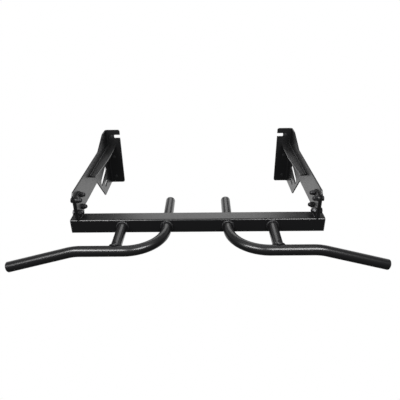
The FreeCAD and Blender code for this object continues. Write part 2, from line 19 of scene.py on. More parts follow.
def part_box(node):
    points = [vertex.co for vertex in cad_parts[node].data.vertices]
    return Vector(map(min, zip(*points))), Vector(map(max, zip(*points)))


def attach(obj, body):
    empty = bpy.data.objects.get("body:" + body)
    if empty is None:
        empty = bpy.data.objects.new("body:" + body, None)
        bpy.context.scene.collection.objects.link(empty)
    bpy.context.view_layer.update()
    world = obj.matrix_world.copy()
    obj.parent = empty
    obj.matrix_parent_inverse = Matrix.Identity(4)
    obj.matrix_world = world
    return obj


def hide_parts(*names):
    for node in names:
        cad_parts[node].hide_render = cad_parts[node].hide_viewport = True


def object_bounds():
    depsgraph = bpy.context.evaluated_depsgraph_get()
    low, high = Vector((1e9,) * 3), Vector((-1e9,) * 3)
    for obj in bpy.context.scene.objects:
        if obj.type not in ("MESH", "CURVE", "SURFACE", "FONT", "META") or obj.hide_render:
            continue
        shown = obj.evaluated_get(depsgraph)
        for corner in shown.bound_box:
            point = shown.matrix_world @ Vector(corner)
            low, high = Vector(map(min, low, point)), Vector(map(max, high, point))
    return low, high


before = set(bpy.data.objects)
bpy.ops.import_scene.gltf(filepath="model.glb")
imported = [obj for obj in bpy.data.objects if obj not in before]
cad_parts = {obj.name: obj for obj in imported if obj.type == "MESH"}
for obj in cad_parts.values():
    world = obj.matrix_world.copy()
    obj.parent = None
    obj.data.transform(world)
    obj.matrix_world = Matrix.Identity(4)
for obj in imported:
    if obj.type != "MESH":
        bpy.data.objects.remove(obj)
cad_low, cad_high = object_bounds()
scene = bpy.context.scene
print("CAD box in metres", [round(high - low, 3) for low, high in zip(cad_low, cad_high)])

# %% [markdown]
# ## Measures
#
# A place is read from the box of the CAD node that holds it. A size that no box shows, such
# as a bend radius or a wall, is a drawing size, so it is written once here in metres. The
# handle is symmetrical, so one set of sizes serves both sides, with `side` -1 for the left
# and 1 for the right.

# %% Sizes that the boxes give, and sizes from the drawing
SIDES = (("left", -1), ("right", 1))
bar_low, bar_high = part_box("crossbar")
BAR = (bar_low + bar_high) / 2
BAR_HALF = (bar_high.z - bar_low.z) / 2
BAR_CORNER = 0.006
BAR_WALL = 0.003

TUBE_RADIUS = 0.0165
TUBE_WALL = 0.0025
GRIP_X = 0.100
BIG_BEND = 0.120
WING_START = 0.368
WING_BEND = 0.150
WING_ANGLE = math.radians(15)
WING_LENGTH = 0.213
FRONT_GRIP_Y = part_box("left_handle_tube")[0].y + TUBE_RADIUS
REAR_END_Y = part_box("left_handle_tube")[1].y
STRUT_X = 0.245

CAP_LIP = 0.003
CAP_ROUND = 0.0022
PLUG_LENGTH = 0.020
PLUG_PLAY = 0.00025
PLUG_RADIUS = TUBE_RADIUS - TUBE_WALL - PLUG_PLAY

SHANK_RADIUS = 0.005
HEAD_ACROSS = 0.016
HEAD_HEIGHT = 0.0065
NUT_HEIGHT = 0.008
NUT_DOME = 0.0072
WASHER_RADIUS = 0.010
WASHER_THICK = 0.002
print("crossbar centre", [round(value, 4) for value in BAR], "half side", round(BAR_HALF, 4))

# %% [markdown]
# ## Finishes, part one: what several finishes share
#
# Powder coat, black zinc and moulded plastic differ in tone and gloss, but all of them have
# a fine skin, patches that are a little glossier than others, and a film of dust on what
# faces up. Each of these effects could be painted as an image. A node group does it without
# one, at any distance, and every finish can take the same group with its own values.

# %% A helper that starts a node group
def new_group(name, inputs, outputs):
    group = bpy.data.node_groups.new(name, "ShaderNodeTree")
    for label, value in inputs:
        socket = group.interface.new_socket(label, in_out="INPUT", socket_type="NodeSocketFloat")
        socket.default_value = value
    for label, kind in outputs:
        group.interface.new_socket(label, in_out="OUTPUT", socket_type=kind)
    start = group.nodes.new("NodeGroupInput")
    end = group.nodes.new("NodeGroupOutput")
    return group, start, end


def new_node(tree, kind, **settings):
    node = tree.nodes.new(kind)
    for key, value in settings.items():
        setattr(node, key, value)
    return node


def set_inputs(node, **values):
    for label, value in values.items():
        node.inputs[label.replace("_", " ")].default_value = value


# %% [markdown]
# ### The skin
#
# Melted powder levels out like the skin of an orange: shallow cells about a millimetre
# across, with a finer grain on top. Real displacement would need millions of faces, so two
# noise textures feed a Bump node, which bends the normal and leaves the mesh alone.

# %% The skin group
def make_skin():
    group, start, end = new_group(
        "Levelled skin",
        [("Cells per metre", 700.0), ("Grain per metre", 2600.0), ("Grain share", 0.3), ("Depth", 0.00002)],
        [("Normal", "NodeSocketVector")],
    )
    place = new_node(group, "ShaderNodeTexCoord")
    cells = new_node(group, "ShaderNodeTexNoise")
    set_inputs(cells, Detail=1.0, Roughness=0.4)
    grain = new_node(group, "ShaderNodeTexNoise")
    set_inputs(grain, Detail=0.0)
    mix = new_node(group, "ShaderNodeMix", data_type="FLOAT")
    bump = new_node(group, "ShaderNodeBump")
    bump.inputs["Strength"].default_value = 1.0
    link = group.links.new
    link(place.outputs["Object"], cells.inputs["Vector"])
    link(place.outputs["Object"], grain.inputs["Vector"])
    link(start.outputs["Cells per metre"], cells.inputs["Scale"])
    link(start.outputs["Grain per metre"], grain.inputs["Scale"])
    link(start.outputs["Grain share"], mix.inputs["Factor"])
    link(cells.outputs["Fac"], mix.inputs["A"])
    link(grain.outputs["Fac"], mix.inputs["B"])
    link(mix.outputs["Result"], bump.inputs["Height"])
    link(start.outputs["Depth"], bump.inputs["Distance"])
    link(bump.outputs["Normal"], end.inputs["Normal"])
    return group


# %% [markdown]
# ### Uneven gloss
#
# Coat thickness, handling and wiping leave wide patches that shine slightly more or less. A
# low noise, squeezed into a narrow band round the finish's own roughness, gives that. It is
# what keeps a long black tube from looking like a computer's gradient.

# %% The gloss group
def make_gloss():
    group, start, end = new_group(
        "Uneven gloss",
        [("Middle", 0.4), ("Swing", 0.05), ("Patches per metre", 14.0)],
        [("Roughness", "NodeSocketFloat")],
    )
    place = new_node(group, "ShaderNodeTexCoord")
    patches = new_node(group, "ShaderNodeTexNoise")
    set_inputs(patches, Detail=3.0, Roughness=0.55)
    centred = new_node(group, "ShaderNodeMath", operation="SUBTRACT")
    centred.inputs[1].default_value = 0.5
    wide = new_node(group, "ShaderNodeMath", operation="MULTIPLY_ADD")
    link = group.links.new
    link(place.outputs["Object"], patches.inputs["Vector"])
    link(start.outputs["Patches per metre"], patches.inputs["Scale"])
    link(patches.outputs["Fac"], centred.inputs[0])
    link(centred.outputs[0], wide.inputs[0])
    link(start.outputs["Swing"], wide.inputs[1])
    link(start.outputs["Middle"], wide.inputs[2])
    link(wide.outputs[0], end.inputs["Roughness"])
    return group


# %% [markdown]
# ### Dust
#
# Dust lies on what faces up, in thin uneven specks. The Z part of the surface normal says
# how far a point faces up. Times a patchy noise, it gives a mask that the finish uses to mix
# a little pale grey into its colour.

# %% The dust group
def make_dust():
    group, start, end = new_group(
        "Settled dust",
        [("Amount", 0.3), ("Specks per metre", 420.0)],
        [("Mask", "NodeSocketFloat")],
    )
    place = new_node(group, "ShaderNodeTexCoord")
    surface = new_node(group, "ShaderNodeNewGeometry")
    parts = new_node(group, "ShaderNodeSeparateXYZ")
    upward = new_node(group, "ShaderNodeMapRange", clamp=True)
    set_inputs(upward, From_Min=0.35, From_Max=1.0)
    specks = new_node(group, "ShaderNodeTexNoise")
    set_inputs(specks, Detail=4.0, Roughness=0.7)
    sparse = new_node(group, "ShaderNodeMapRange", clamp=True)
    set_inputs(sparse, From_Min=0.42, From_Max=0.75)
    both = new_node(group, "ShaderNodeMath", operation="MULTIPLY")
    scaled = new_node(group, "ShaderNodeMath", operation="MULTIPLY")
    link = group.links.new
    link(surface.outputs["Normal"], parts.inputs["Vector"])
    link(parts.outputs["Z"], upward.inputs["Value"])
    link(place.outputs["Object"], specks.inputs["Vector"])
    link(start.outputs["Specks per metre"], specks.inputs["Scale"])
    link(specks.outputs["Fac"], sparse.inputs["Value"])
    link(upward.outputs["Result"], both.inputs[0])
    link(sparse.outputs["Result"], both.inputs[1])
    link(both.outputs[0], scaled.inputs[0])
    link(start.outputs["Amount"], scaled.inputs[1])
    link(scaled.outputs[0], end.inputs["Mask"])
    return group


# %% [markdown]
# ### Worn edges and painted edge highlight
#
# Powder draws back from a cut edge, and hands and boxes rub it, so an edge is a shade paler
# and smoother than the face beside it. Part of the paler colour given here is that wear, and
# part is a painted highlight: the sheen that a rounded edge catches, put into the colour. The
# models below mark the faces of their bevels with an `edge` attribute. This group breaks that
# mark up with noise, so no edge is evenly worn or evenly lit.

# %% The edge group
def make_edge_wear_and_highlight():
    group, start, end = new_group(
        "Worn edge and painted highlight",
        [("Amount", 0.5), ("Breaks per metre", 60.0)],
        [("Mask", "NodeSocketFloat")],
    )
    place = new_node(group, "ShaderNodeTexCoord")
    mark = new_node(group, "ShaderNodeAttribute", attribute_name="edge")
    breaks = new_node(group, "ShaderNodeTexNoise")
    set_inputs(breaks, Detail=3.0)
    patchy = new_node(group, "ShaderNodeMapRange", clamp=True)
    set_inputs(patchy, From_Min=0.35, From_Max=0.65)
    both = new_node(group, "ShaderNodeMath", operation="MULTIPLY")
    scaled = new_node(group, "ShaderNodeMath", operation="MULTIPLY")
    link = group.links.new
    link(place.outputs["Object"], breaks.inputs["Vector"])
    link(start.outputs["Breaks per metre"], breaks.inputs["Scale"])
    link(breaks.outputs["Fac"], patchy.inputs["Value"])
    link(mark.outputs["Fac"], both.inputs[0])
    link(patchy.outputs["Result"], both.inputs[1])
    link(both.outputs[0], scaled.inputs[0])
    link(start.outputs["Amount"], scaled.inputs[1])
    link(scaled.outputs[0], end.inputs["Mask"])
    return group


GROUPS = {"skin": make_skin(), "gloss": make_gloss(), "dust": make_dust(), "edge": make_edge_wear_and_highlight()}
print("shared groups:", ", ".join(group.name for group in GROUPS.values()))

# %% [markdown]
# ## Finishes, part two: the six finishes
#
# The record names six material slots. Each gets a material of the same build: a near-black
# colour with dust and paler edges mixed in, the edges partly worn coat and partly a painted
# highlight, an uneven roughness and a skin. The numbers set them apart. The Principled shader
# stays in the material, and what never varies, such as the metallic share, is typed straight
# into its socket.

# %% One builder for every black finish
# Paler edge colour: partly worn coat, partly a painted highlight that stands for the sheen on edges.
EDGE_WEAR_AND_HIGHLIGHT_TONE = (0.035, 0.035, 0.037, 1.0)
DUST_TONE = (0.22, 0.21, 0.20, 1.0)


def add_group(tree, key, **values):
    node = tree.nodes.new("ShaderNodeGroup")
    node.node_tree = GROUPS[key]
    set_inputs(node, **values)
    return node


def black_finish(name, tone, skin, gloss, dust, edge, metallic=0.0, specular=0.5):
    material = bpy.data.materials.new(name)
    material.use_nodes = True
    tree = material.node_tree
    shader = tree.nodes["Principled BSDF"]
    shader.inputs["Metallic"].default_value = metallic
    shader.inputs["Specular IOR Level"].default_value = specular
    skin_node = add_group(tree, "skin", **skin)
    gloss_node = add_group(tree, "gloss", **gloss)
    dust_node = add_group(tree, "dust", **dust)
    edge_node = add_group(tree, "edge", **edge)
    # Edge mix: the marked edges turn paler, partly wear and partly a painted highlight.
    worn_and_highlit = new_node(tree, "ShaderNodeMix", data_type="RGBA")
    worn_and_highlit.inputs[6].default_value = tone
    worn_and_highlit.inputs[7].default_value = EDGE_WEAR_AND_HIGHLIGHT_TONE
    dusty = new_node(tree, "ShaderNodeMix", data_type="RGBA")
    dusty.inputs[7].default_value = DUST_TONE
    link = tree.links.new
    link(edge_node.outputs["Mask"], worn_and_highlit.inputs["Factor"])
    link(worn_and_highlit.outputs[2], dusty.inputs[6])
    link(dust_node.outputs["Mask"], dusty.inputs["Factor"])
    link(dusty.outputs[2], shader.inputs["Base Color"])
    link(gloss_node.outputs["Roughness"], shader.inputs["Roughness"])
    link(skin_node.outputs["Normal"], shader.inputs["Normal"])
    return material


# %% The six materials
COAT_SKIN = {"Cells_per_metre": 650.0, "Depth": 0.000003}
COAT_EDGE = {"Amount": 0.5}
FINISHES = {
    "bracket_coat": black_finish(
        "bracket_coat", (0.0065, 0.0065, 0.007, 1.0), COAT_SKIN,
        {"Middle": 0.40, "Swing": 0.08}, {"Amount": 0.03}, COAT_EDGE),
    "crossbar_coat": black_finish(
        "crossbar_coat", (0.0055, 0.0055, 0.006, 1.0), COAT_SKIN,
        {"Middle": 0.29, "Swing": 0.06}, {"Amount": 0.03}, COAT_EDGE),
    "handle_coat": black_finish(
        "handle_coat", (0.0065, 0.0065, 0.007, 1.0), COAT_SKIN,
        {"Middle": 0.29, "Swing": 0.06}, {"Amount": 0.02}, COAT_EDGE),
    "weld_coat": black_finish(
        "weld_coat", (0.012, 0.012, 0.013, 1.0), {"Cells_per_metre": 900.0, "Depth": 0.00004},
        {"Middle": 0.36, "Swing": 0.10}, {"Amount": 0.03}, {"Amount": 0.0}),
    "fastener_black": black_finish(
        "fastener_black", (0.030, 0.030, 0.032, 1.0), {"Cells_per_metre": 1600.0, "Depth": 0.000008},
        {"Middle": 0.43, "Swing": 0.08, "Patches_per_metre": 90.0}, {"Amount": 0.03},
        {"Amount": 0.8}, metallic=0.7),
    "cap_plastic": black_finish(
        "cap_plastic", (0.016, 0.016, 0.017, 1.0),
        {"Cells_per_metre": 1500.0, "Grain_share": 0.7, "Depth": 0.00003},
        {"Middle": 0.48, "Swing": 0.06}, {"Amount": 0.04}, {"Amount": 0.3}),
}
print("finishes:", ", ".join(FINISHES))

# %% [markdown]
# ## Helpers for the models
#
# Each piece is a bmesh: a small shape grown with Blender's own operators. A ring of edges
# is drawn on, scaled, or swept round an axis. At the end `finish_piece` turns the bmesh into
# an object, smooths it by angle, gives it its finish, hangs it under the root body's empty
# and hides the CAD nodes it stands for.

# %% Growing a shape ring by ring
def verts_of(edges):
    """Each vertex once, in a fixed order; a plain set would reorder them from run to run."""
    return list(dict.fromkeys(vert for edge in edges for vert in edge.verts))


def added_since(bm, before):
    return [vert for vert in bm.verts if vert not in before]


def draw_on(bm, ring, step=(0.0, 0.0, 0.0)):
    made = bmesh.ops.extrude_edge_only(bm, edges=ring)["geom"]
    fresh = [item for item in made if isinstance(item, bmesh.types.BMVert)]
    bmesh.ops.translate(bm, verts=fresh, vec=step)
    return [item for item in made
            if isinstance(item, bmesh.types.BMEdge) and set(item.verts) <= set(fresh)]


def new_ring(bm, radius, segments):
    made = bmesh.ops.create_circle(bm, cap_ends=False, radius=radius, segments=segments)
    return list(dict.fromkeys(edge for vert in made["verts"] for edge in vert.link_edges))


def to_radius(ring, radius):
    """Slide a ring's vertices straight in or out to a circle round the Z axis."""
    for vert in verts_of(ring):
        across = Vector((vert.co.x, vert.co.y)).normalized() * radius
        vert.co = Vector((across.x, across.y, vert.co.z))


def close_ring(bm, ring):
    bmesh.ops.contextual_create(bm, geom=ring)


def turn_to(bm, direction, place, verts=None):
    """Turn what was built along +Z to a direction, then move it to its place."""
    turn = Vector((0.0, 0.0, 1.0)).rotation_difference(Vector(direction)).to_matrix()
    verts = verts or bm.verts
    bmesh.ops.rotate(bm, verts=verts, cent=(0.0, 0.0, 0.0), matrix=turn)
    bmesh.ops.translate(bm, verts=verts, vec=place)


# %% Breaking sharp edges and marking them for the worn, painted-highlight edge colour
def edge_layer(bm):
    return bm.faces.layers.float.get("edge") or bm.faces.layers.float.new("edge")


def break_edges(bm, width, steeper_than=35.0, segments=2, edges=None):
    layer = edge_layer(bm)
    limit = math.radians(steeper_than)
    sharp = edges or [edge for edge in bm.edges
                      if edge.is_manifold and edge.calc_face_angle() > limit]
    made = bmesh.ops.bevel(bm, geom=sharp, offset=width, offset_type="OFFSET",
                           segments=segments, profile=0.5, affect="EDGES",
                           clamp_overlap=True, material=-1)
    for face in made["faces"]:
        face[layer] = 1.0


# %% Turning a bmesh into a piece
def by_place(items, where):
    """Number the items by where they lie, so that every run numbers them alike."""
    order = sorted(items, key=lambda item: tuple(round(value, 6) for value in where(item)))
    rank = {item: number for number, item in enumerate(order)}
    items.sort(key=lambda item: rank[item])


def finish_piece(bm, name, finish, nodes, smooth=38.0, mend=True):
    edge_layer(bm)
    if mend:
        bmesh.ops.remove_doubles(bm, verts=bm.verts, dist=1e-6)
        bmesh.ops.recalc_face_normals(bm, faces=bm.faces)
    by_place(bm.verts, lambda vert: vert.co)
    by_place(bm.edges, lambda edge: (edge.verts[0].co + edge.verts[1].co) / 2)
    by_place(bm.faces, lambda face: face.calc_center_median())
    mesh = bpy.data.meshes.new(name)
    bm.to_mesh(mesh)
    bm.free()
    mesh.shade_smooth()
    mesh.set_sharp_from_angle(angle=math.radians(smooth))
    mesh.materials.append(FINISHES[finish])
    piece = bpy.data.objects.new(name, mesh)
    scene.collection.objects.link(piece)
    even = piece.modifiers.new("Even shading", "WEIGHTED_NORMAL")
    even.keep_sharp = True
    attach(piece, "root")
    if nodes:
        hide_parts(*nodes)
    print(f"{name}: {len(mesh.polygons)} faces")
    return piece


# %% [markdown]
# ## Brackets, gussets and hanger plates
#
# These are laser-cut steel plates, the brackets with one bend. Their outlines, slots and
# holes are already exact in the CAD mesh, so redrawing them would only add mistakes. A copy
# is merged, its flat triangles are dissolved back into whole faces, and every cut edge is
# broken by six tenths of a millimetre, because a knife-sharp edge catches no light and looks false.

# %% Plates from a merged copy
def merged_copy(node):
    bm = bmesh.new()
    bm.from_mesh(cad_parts[node].data)
    bmesh.ops.remove_doubles(bm, verts=bm.verts, dist=1e-5)
    bmesh.ops.dissolve_limit(bm, angle_limit=math.radians(1.0), verts=bm.verts, edges=bm.edges)
    return bm


EDGE_BREAK = 0.0006
for word, _ in SIDES:
    for part in ("wall_bracket", "gusset", "hanger_plate"):
        node = word + "_" + part
        plate = merged_copy(node)
        break_edges(plate, EDGE_BREAK)
        finish_piece(plate, node + "_plate", "bracket_coat", [node], mend=False)

# %% [markdown]
# ## Struts
#
# A strut is a short tube whose front end is cut to fit round the grip, with one vent hole
# on top so that the coating oven does not burst it. That saddle cut is again exact in the
# CAD mesh, so the merged copy is used as it is, with only its shading made smooth.

# %% Struts from a merged copy
for word, _ in SIDES:
    node = word + "_handle_strut"
    strut = merged_copy(node)
    finish_piece(strut, node + "_tube", "handle_coat", [node], mend=False)

# %% [markdown]
# ## Crossbar
#
# A square tube with rounded corners. Four points become a square, a vertex bevel rounds its
# corners, and the outline is drawn out to its length. A Solidify modifier gives the wall, on
# the inside, so the outside keeps its size.

# %% Rounded square, drawn out to a bar
def rounded_square(bm, half, corner, segments=8):
    made = bmesh.ops.create_grid(bm, x_segments=1, y_segments=1, size=half)
    bmesh.ops.bevel(bm, geom=made["verts"], offset=corner, offset_type="OFFSET",
                    segments=segments, profile=0.5, affect="VERTICES",
                    clamp_overlap=True, material=-1)
    return bm.faces[:]


def add_wall(piece, thickness):
    wall = piece.modifiers.new("Wall", "SOLIDIFY")
    wall.thickness = thickness
    wall.offset = -1.0
    piece.modifiers.move(len(piece.modifiers) - 1, 0)


bar = bmesh.new()
outline = rounded_square(bar, BAR_HALF, BAR_CORNER)
bmesh.ops.delete(bar, geom=outline, context="FACES_ONLY")
bar.edges.ensure_lookup_table()
draw_on(bar, bar.edges[:], (0.0, 0.0, bar_high.x - bar_low.x))
turn_to(bar, (1.0, 0.0, 0.0), (bar_low.x, BAR.y, BAR.z))
crossbar = finish_piece(bar, "crossbar_tube", "crossbar_coat", ["crossbar"])
add_wall(crossbar, BAR_WALL)

# %% [markdown]
# ## Plugs in the crossbar
#
# Each end of the bar has a pressed-in plastic plug. Its flange is the same rounded square,
# three millimetres thick, with a soft rim and a shallow dish in the middle where the mould
# left the skin thinner. Inset and bevel make both from the one face.

# %% Square plugs
SQUARE_LIP = 0.003
SQUARE_RIM_ROUND = 0.0011
SQUARE_RIM = 0.0045
SQUARE_DISH = 0.0006
SQUARE_PLUG = BAR_HALF - BAR_WALL - PLUG_PLAY
SQUARE_PLUG_LENGTH = PLUG_LENGTH - 0.002


def dish(bm, face, rim, sink):
    """Sink the middle of a face a little, behind a sloping rim."""
    bmesh.ops.inset_individual(bm, faces=[face], thickness=rim)
    bmesh.ops.inset_individual(bm, faces=[face], thickness=sink * 2, depth=-sink)


def face_towards(bm, z):
    return max(bm.faces, key=lambda face: (z * face.normal.z > 0.99) * face.calc_area())


for word, side in SIDES:
    plug = bmesh.new()
    base = rounded_square(plug, BAR_HALF, BAR_CORNER)
    raised = bmesh.ops.extrude_face_region(plug, geom=base)["geom"]
    bmesh.ops.translate(plug, vec=(0.0, 0.0, SQUARE_LIP),
                        verts=[item for item in raised if isinstance(item, bmesh.types.BMVert)])
    bmesh.ops.recalc_face_normals(plug, faces=plug.faces)
    top = face_towards(plug, 1.0)
    break_edges(plug, SQUARE_RIM_ROUND, segments=4, edges=list(top.edges))
    dish(plug, face_towards(plug, 1.0), SQUARE_RIM, SQUARE_DISH)
    seat = face_towards(plug, -1.0)
    bmesh.ops.inset_individual(plug, faces=[seat], thickness=BAR_HALF - SQUARE_PLUG)
    bmesh.ops.inset_individual(plug, faces=[seat], thickness=0.0, depth=SQUARE_PLUG_LENGTH)
    turn_to(plug, (side, 0.0, 0.0), (side * bar_high.x, BAR.y, BAR.z))
    finish_piece(plug, word + "_crossbar_plug", "cap_plastic", [word + "_crossbar_cap"])

# %% [markdown]
# ## Handle tubes
#
# One bent tube makes three grips: straight back under the hands, a wide quarter turn, the
# front grip, and a slight downward bend to the outer end. A curve with a round bevel would
# do, but a ring swept by `spin` gives true arcs with even steps, and straight runs that cost
# only one row of faces.

# %% Sweeping one ring along the bends
RING = 48
BIG_BEND_STEPS = 40
WING_BEND_STEPS = 12


def sweep(bm, ring, centre, axis, angle, steps):
    made = bmesh.ops.spin(bm, geom=ring, cent=centre, axis=axis, angle=angle, steps=steps,
                          use_merge=False, use_duplicate=False)
    return [item for item in made["geom_last"] if isinstance(item, bmesh.types.BMEdge)]


for word, side in SIDES:
    tube = bmesh.new()
    ring = new_ring(tube, TUBE_RADIUS, RING)
    turn_to(tube, (0.0, -1.0, 0.0), (side * GRIP_X, REAR_END_Y, BAR.z))
    bend_y = FRONT_GRIP_Y + BIG_BEND
    ring = draw_on(tube, ring, (0.0, bend_y - REAR_END_Y, 0.0))
    ring = sweep(tube, ring, (side * (GRIP_X + BIG_BEND), bend_y, BAR.z),
                 (0.0, 0.0, 1.0), side * math.pi / 2, BIG_BEND_STEPS)
    tangent = WING_BEND * math.tan(WING_ANGLE / 2)
    run = WING_START - tangent - GRIP_X - BIG_BEND
    ring = draw_on(tube, ring, (side * run, 0.0, 0.0))
    ring = sweep(tube, ring, (side * (WING_START - tangent), FRONT_GRIP_Y, BAR.z - WING_BEND),
                 (0.0, 1.0, 0.0), side * WING_ANGLE, WING_BEND_STEPS)
    outward = Vector((side * math.cos(WING_ANGLE), 0.0, -math.sin(WING_ANGLE)))
    draw_on(tube, ring, outward * (WING_LENGTH - tangent))
    piece = finish_piece(tube, word + "_handle", "handle_coat", [word + "_handle_tube"])
    add_wall(piece, TUBE_WALL)

# %% [markdown]
# ## Round plugs
#
# The four open tube ends take turned-looking plastic plugs. A disc is raised, its rim is
# rounded with a bevel, its face dished, and a shank goes back into the tube. One recipe
# serves the rear ends, which point to the wall, and the outer ends, which point down.

# %% Round plugs
ROUND_RIM = 0.0022
ROUND_DISH = 0.0007


def round_plug(direction, place):
    bm = bmesh.new()
    ring = new_ring(bm, TUBE_RADIUS, RING)
    shank = draw_on(bm, ring)
    to_radius(shank, PLUG_RADIUS)
    shank = draw_on(bm, shank, (0.0, 0.0, -PLUG_LENGTH))
    close_ring(bm, shank)
    rim = draw_on(bm, ring, (0.0, 0.0, CAP_LIP))
    close_ring(bm, rim)
    bmesh.ops.recalc_face_normals(bm, faces=bm.faces)
    break_edges(bm, CAP_ROUND, segments=6, edges=rim)
    dish(bm, face_towards(bm, 1.0), ROUND_RIM, ROUND_DISH)
    turn_to(bm, direction, place)
    return bm


for word, side in SIDES:
    rear = round_plug((0.0, 1.0, 0.0), (side * GRIP_X, REAR_END_Y, BAR.z))
    finish_piece(rear, word + "_rear_plug", "cap_plastic", [word + "_rear_cap"])
    outward = Vector((side * math.cos(WING_ANGLE), 0.0, -math.sin(WING_ANGLE)))
    corner = Vector((side * WING_START, FRONT_GRIP_Y, BAR.z))
    outer = round_plug(outward, corner + outward * WING_LENGTH)
    finish_piece(outer, word + "_outer_plug", "cap_plastic", [word + "_outer_cap"])

# %% [markdown]
# ## Painted shade in the fixing holes
#
# The three holes in each flange are filled by dark plastic discs. They are painted shade: they
# make the holes read dark, where the open holes would let the white surround show through.
# Each disc is a shallow dome with a short shank: one disc, one rounded rim and a slightly
# raised middle, copied to the three heights.

# %% Dark discs of painted shade in the holes
SHADE_DISC_RADIUS = 0.0064
SHADE_DISC_HEIGHT = 0.0012
SHADE_DISC_SHANK = 0.0035
SHADE_DISC_SIDES = 32
HOLE_RADIUS = 0.0042
HOLE_X = 0.366
HOLE_PITCH = 0.092
PLATE = 0.005


def hole_shade_disc(bm):
    ring = new_ring(bm, SHADE_DISC_RADIUS, SHADE_DISC_SIDES)
    shank = draw_on(bm, ring)
    to_radius(shank, HOLE_RADIUS)
    close_ring(bm, draw_on(bm, shank, (0.0, 0.0, -SHADE_DISC_SHANK)))
    rim = draw_on(bm, ring, (0.0, 0.0, SHADE_DISC_HEIGHT * 0.5))
    for share in (0.85, 0.6, 0.3):
        rim = draw_on(bm, rim)
        to_radius(rim, SHADE_DISC_RADIUS * share)
        for vert in verts_of(rim):
            vert.co.z = SHADE_DISC_HEIGHT * math.sqrt(1.0 - share ** 4 * 0.75)
    close_ring(bm, rim)


# Painted shade: three dark discs fill the holes of each flange.
for word, side in SIDES:
    shade_discs = bmesh.new()
    for level in (-1, 0, 1):
        before = set(shade_discs.verts)
        hole_shade_disc(shade_discs)
        turn_to(shade_discs, (0.0, -1.0, 0.0), (side * HOLE_X, -PLATE, level * HOLE_PITCH),
                added_since(shade_discs, before))
    finish_piece(shade_discs, word + "_hole_shade_discs", "cap_plastic", [])

# %% [markdown]
# ## Weld beads
#
# A hand-run bead is a row of frozen ripples in the corner between two parts. The section is
# a small circle, half buried, swept round the tube or along the plate. Then each vertex is
# pushed in or out by a sine along the bead, skewed across it so that the ripples bow, and by
# a little noise so that no two are alike.

# %% Ripples
BEAD = 0.0032
SINK = 0.0016
PITCH = 0.0034
RIPPLE = 0.00030
WANDER = 0.00035
WANDERS_PER_METRE = 130.0
BOW = 1.3
BEAD_SIDES = 10
RING_STEPS = 160
STEPS_PER_RIPPLE = 5
SADDLE_SOFT = 0.004
BLUNT_END = 0.15


def ripple(vert, middle, along, bow):
    """Push a vertex away from the bead's middle by its ripple."""
    out = vert.co - middle
    wave = math.sin(2 * math.pi * along / PITCH + BOW * bow)
    drift = noise.noise(vert.co * WANDERS_PER_METRE)
    vert.co = vert.co + out.normalized() * (RIPPLE * wave + WANDER * drift)


def ring_bead(bm, radius, saddle=0.0):
    """A bead round the Z axis on the plane z = 0; a saddle lets it climb round a tube."""
    section = new_ring(bm, BEAD, BEAD_SIDES)
    bmesh.ops.rotate(bm, verts=verts_of(section), cent=(0.0, 0.0, 0.0),
                     matrix=Matrix.Rotation(math.pi / 2, 3, "X"))
    bmesh.ops.translate(bm, verts=verts_of(section), vec=(radius + SINK, 0.0, SINK))
    before = set(bm.verts) - set(verts_of(section))
    bmesh.ops.spin(bm, geom=section, cent=(0.0, 0.0, 0.0), axis=(0.0, 0.0, 1.0),
                   angle=2 * math.pi, steps=RING_STEPS, use_merge=True, use_duplicate=False)
    for vert in added_since(bm, before):
        turn = math.atan2(vert.co.y, vert.co.x)
        middle = Vector((math.cos(turn), math.sin(turn), 0.0)) * (radius + SINK)
        middle.z = SINK
        bow = (vert.co.z - SINK) / BEAD
        ripples = round(2 * math.pi * radius / PITCH)
        ripple(vert, middle, turn / (2 * math.pi) * ripples * PITCH, bow)
        if saddle:
            vert.co.z += math.hypot(saddle * math.cos(turn), SADDLE_SOFT)


# %% Beads round the tubes and struts
for word, side in SIDES:
    beads = bmesh.new()
    spots = (
        ((0.0, 1.0, 0.0), (side * GRIP_X, BAR.y + BAR_HALF, BAR.z)),
        ((0.0, -1.0, 0.0), (side * GRIP_X, BAR.y - BAR_HALF, BAR.z)),
        ((0.0, -1.0, 0.0), (side * STRUT_X, BAR.y - BAR_HALF, BAR.z)),
    )
    for direction, place in spots:
        before = set(beads.verts)
        ring_bead(beads, TUBE_RADIUS)
        turn_to(beads, direction, place, added_since(beads, before))
    finish_piece(beads, word + "_tube_beads", "weld_coat", [word + "_handle_welds"], smooth=60.0)

# %% A saddle bead where each strut meets the front grip
for word, side in SIDES:
    saddle = bmesh.new()
    ring_bead(saddle, TUBE_RADIUS, TUBE_RADIUS)
    turn_to(saddle, (0.0, 1.0, 0.0), (side * STRUT_X, FRONT_GRIP_Y, BAR.z))
    finish_piece(saddle, word + "_saddle_bead", "weld_coat", [], smooth=60.0)

# %% Straight beads: hanger foot and gusset
def straight_bead(start, end, corner):
    """A bead from start to end; corner points diagonally out of the two faces it joins."""
    bm = bmesh.new()
    span = Vector(end) - Vector(start)
    length = span.length
    section = new_ring(bm, BEAD, BEAD_SIDES)
    steps = int(length / PITCH * STEPS_PER_RIPPLE)
    bmesh.ops.spin(bm, geom=section, cent=(0.0, 0.0, 0.0), axis=(0.0, 0.0, 1.0),
                   dvec=(0.0, 0.0, length / steps), angle=0.0, steps=steps,
                   use_merge=False, use_duplicate=False)
    for vert in bm.verts:
        along = vert.co.z
        middle = Vector((0.0, 0.0, along))
        ripple(vert, middle, along, vert.co.x / BEAD)
        from_end = min(along, length - along) / BEAD
        taper = math.sqrt(max(0.0, 1.0 - max(0.0, 1.0 - from_end) ** 2))
        thick = BLUNT_END + (1.0 - BLUNT_END) * taper
        vert.co.x *= thick
        vert.co.y *= thick
    bmesh.ops.holes_fill(bm, edges=bm.edges, sides=0)
    turn_to(bm, span.normalized(), Vector(start) + Vector(corner) * SINK)
    return bm


